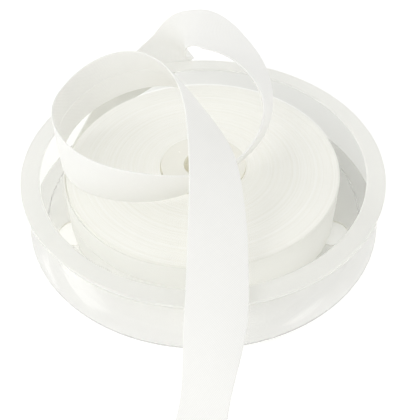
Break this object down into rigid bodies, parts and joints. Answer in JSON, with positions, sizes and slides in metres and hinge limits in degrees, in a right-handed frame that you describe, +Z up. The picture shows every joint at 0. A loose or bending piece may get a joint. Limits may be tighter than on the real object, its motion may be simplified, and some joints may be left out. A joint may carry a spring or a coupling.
{
  "type": "roll of bias tape on a clear reel",
  "caption": "Flat roll of white folded bias tape wound on a clear flanged plastic reel, its loose end looped over the top and laid over the front rim.",
  "frame": {"origin": "middle of the bounding box at the underside of the reel, on the surface that it lies on", "axes": "+Z up along the reel's axis, -Y towards the front where the loose strip runs out over the rim, +X to the right"},
  "size_m": [0.17, 0.272, 0.0775],
  "materials": {
    "tape": "matt white plain-weave cotton cut on the bias, folded to the middle",
    "reel": "clear moulded plastic with a milky rim band"
  },
  "bodies": {
    "root": {"reel_lower": "reel", "reel_upper": "reel", "tape_roll": "tape", "tape_end": "tape"}
  },
  "joints": []
}
